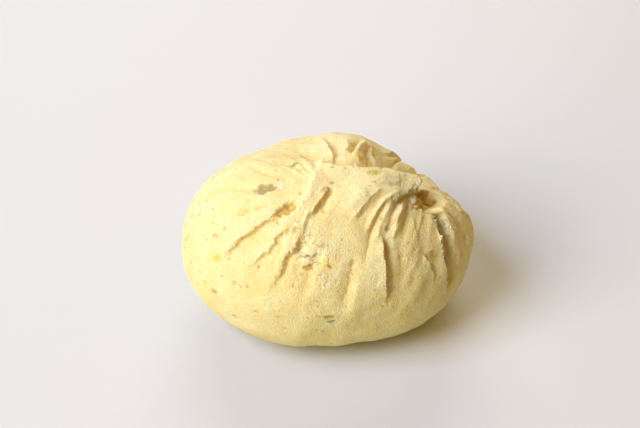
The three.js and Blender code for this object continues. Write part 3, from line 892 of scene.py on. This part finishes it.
bm = bmesh.new()
ways = crumb_directions()
spots = skin(ways)[0] - np.array([middle[0], middle[1], 0])
for way, spot in zip(ways, spots):
    if spot[2] > LOWEST_CRUMB:
        add_crumb(bm, spot, way, rng.uniform(*CRUMB_RADIUS))
bmesh.ops.scale(bm, vec=(MM, MM, MM), verts=bm.verts)
crumbs = finished(bm, "crumbs")
crumb_paste, tree, shader = new_material("crumb_paste")
place = node(tree, "ShaderNodeTexCoord", output=OBJECT_OUTPUT)
colour = mixed(tree, grain(tree, place, 0.5, 2).ramp(0.35, 0.65), PASTE_DEEP, RIDGE_LIGHT_AND_CRUMB_TONE)
tree.links.new(colour.socket, shader.inputs["Base Color"])
shader.inputs["Roughness"].default_value = 0.7
let_light_in(shader, 0.35, PASTE_GLOW, 0.5)
crumbs.data.materials.append(crumb_paste)
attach(crumbs, "root")
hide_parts(NODE)
print("crumbs:", len(ways), "places and", len(crumbs.data.polygons), "triangles")

# %% [markdown]
# ## Candied bits in the pit
# Two pieces of candied chestnut lie bare in the torn pit. They are amber, smooth and a little
# glossy, so light shines through them. Each is a round shape stretched, sunk in the pit's wall
# and made uneven by a little noise.

# %% Candied bits in the pit
CANDIED_DARK = (0.50, 0.28, 0.01)
CANDIED_PALE = (0.70, 0.47, 0.04)
CANDIED_LENGTHWISE = Vector((0.94, 0.23, 0.25))
CANDIED_GLOW = (1.0, 0.5, 0.1)
CANDIED_SUNK = 0.2
CANDIED_DENT = 0.25
CANDIED_NOISE = 1.5
# Bearing and height of each bit's place, then its half length and half width in millimetres
CANDIED_BITS = [(-4.8, 31, 0.95, 0.6), (-23.4, 41.6, 0.5, 0.35)]

bm = bmesh.new()
for bearing, height, long, wide in CANDIED_BITS:
    way = direction(bearing, height)
    spot = skin(way[None])[0][0] - np.array([middle[0], middle[1], 0]) - CANDIED_SUNK * wide * way
    turn = CANDIED_LENGTHWISE.to_track_quat("X", "Z").to_matrix().to_4x4()
    sizes = Matrix.Diagonal((long, wide, wide, 1))
    made = bmesh.ops.create_icosphere(bm, subdivisions=4, radius=1,
                                      matrix=Matrix.Translation(spot) @ turn @ sizes)
    dent(made["verts"], Vector(spot), CANDIED_DENT, CANDIED_NOISE)
for f in bm.faces:
    f.smooth = True
bmesh.ops.scale(bm, vec=(MM, MM, MM), verts=bm.verts)
candied = finished(bm, "candied_bits")
candied_nut, tree, shader = new_material("candied_nut")
place = node(tree, "ShaderNodeTexCoord", output=OBJECT_OUTPUT)
colour = mixed(tree, grain(tree, place, 0.6, 3).ramp(0.4, 0.65), CANDIED_DARK, CANDIED_PALE)
tree.links.new(colour.socket, shader.inputs["Base Color"])
shader.inputs["Roughness"].default_value = 0.35
let_light_in(shader, 0.4, CANDIED_GLOW, 0.6)
candied.data.materials.append(candied_nut)
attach(candied, "root")
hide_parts(NODE)
print("candied bits:", len(CANDIED_BITS), "with", len(candied.data.polygons), "triangles")

# %% [markdown]
# ## Floor, light and camera
# The sweet lies by a window on its left, with more soft light from behind and a little from the
# room on its right. The windows' light is cool and the room's warm, so the lit side looks pale
# and the shaded side golden. The camera looks down at it from the front, from far enough away
# that the form isn't distorted.

# %% The floor
FLOOR_COLOUR = (0.60, 0.60, 0.45)
FLOOR_HALF = 1.5
bm = bmesh.new()
bmesh.ops.create_grid(bm, x_segments=1, y_segments=1, size=FLOOR_HALF)
floor = finished(bm, "floor")
white, tree, shader = new_material("floor_white")
shader.inputs["Base Color"].default_value = (*FLOOR_COLOUR, 1)
shader.inputs["Roughness"].default_value = 0.5
floor.data.materials.append(white)
print("the floor is", floor.dimensions.x, "m wide")

# %% The camera
ELEVATION = math.radians(43)
AIM = Vector((-1.2, 6.1, 12.0)) - Vector((middle[0], middle[1], 0))
DISTANCE = 250
camera_data = bpy.data.cameras.new("camera")
camera_data.lens = 85
camera_data.sensor_width = 36
camera_data.clip_start = 0.01
camera = bpy.data.objects.new("camera", camera_data)
bpy.context.collection.objects.link(camera)
camera.location = (AIM + DISTANCE * Vector((0, -math.cos(ELEVATION), math.sin(ELEVATION)))) * MM
camera.rotation_euler = (math.radians(90) - ELEVATION, 0, 0)
bpy.context.scene.camera = camera
print("the camera stands at", camera.location)


# %% The lights
LIGHT_DISTANCE = 0.8
LIGHTS_AIM = Vector((0, 0, 0.01))
# Each light: bearing and height in degrees, size in metres, power in watts, colour
LIGHTS = {
    "window": (207, 47, 0.5, 5.7, (1.0, 1.10, 2.0)),
    "low_window": (215, 25, 0.5, 3.8, (1.0, 0.85, 0.52)),
    "back_window": (92, 27, 0.6, 4.1, (1.0, 0.98, 1.05)),
    "room_fill": (0, 55, 0.8, 2.2, (1.0, 0.62, 0.24)),
}


def area_light(name, place, size, power, colour):
    data = bpy.data.lights.new(name, "AREA")
    data.size = size
    data.energy = power
    data.color = colour
    lamp = bpy.data.objects.new(name, data)
    lamp.location = place
    lamp.rotation_euler = (LIGHTS_AIM - Vector(place)).to_track_quat("-Z", "Y").to_euler()
    bpy.context.collection.objects.link(lamp)


for name, (bearing, height, size, power, colour) in LIGHTS.items():
    area_light(name, tuple(LIGHT_DISTANCE * direction(bearing, height)), size, power, colour)
world = bpy.data.worlds.new("world")
world.use_nodes = True
world.node_tree.nodes["Background"].inputs["Color"].default_value = (1, 0.95, 0.8, 1)
world.node_tree.nodes["Background"].inputs["Strength"].default_value = 0.03
bpy.context.scene.world = world
bpy.context.scene.view_settings.view_transform = "Standard"
print(len(bpy.data.lights), "lights")
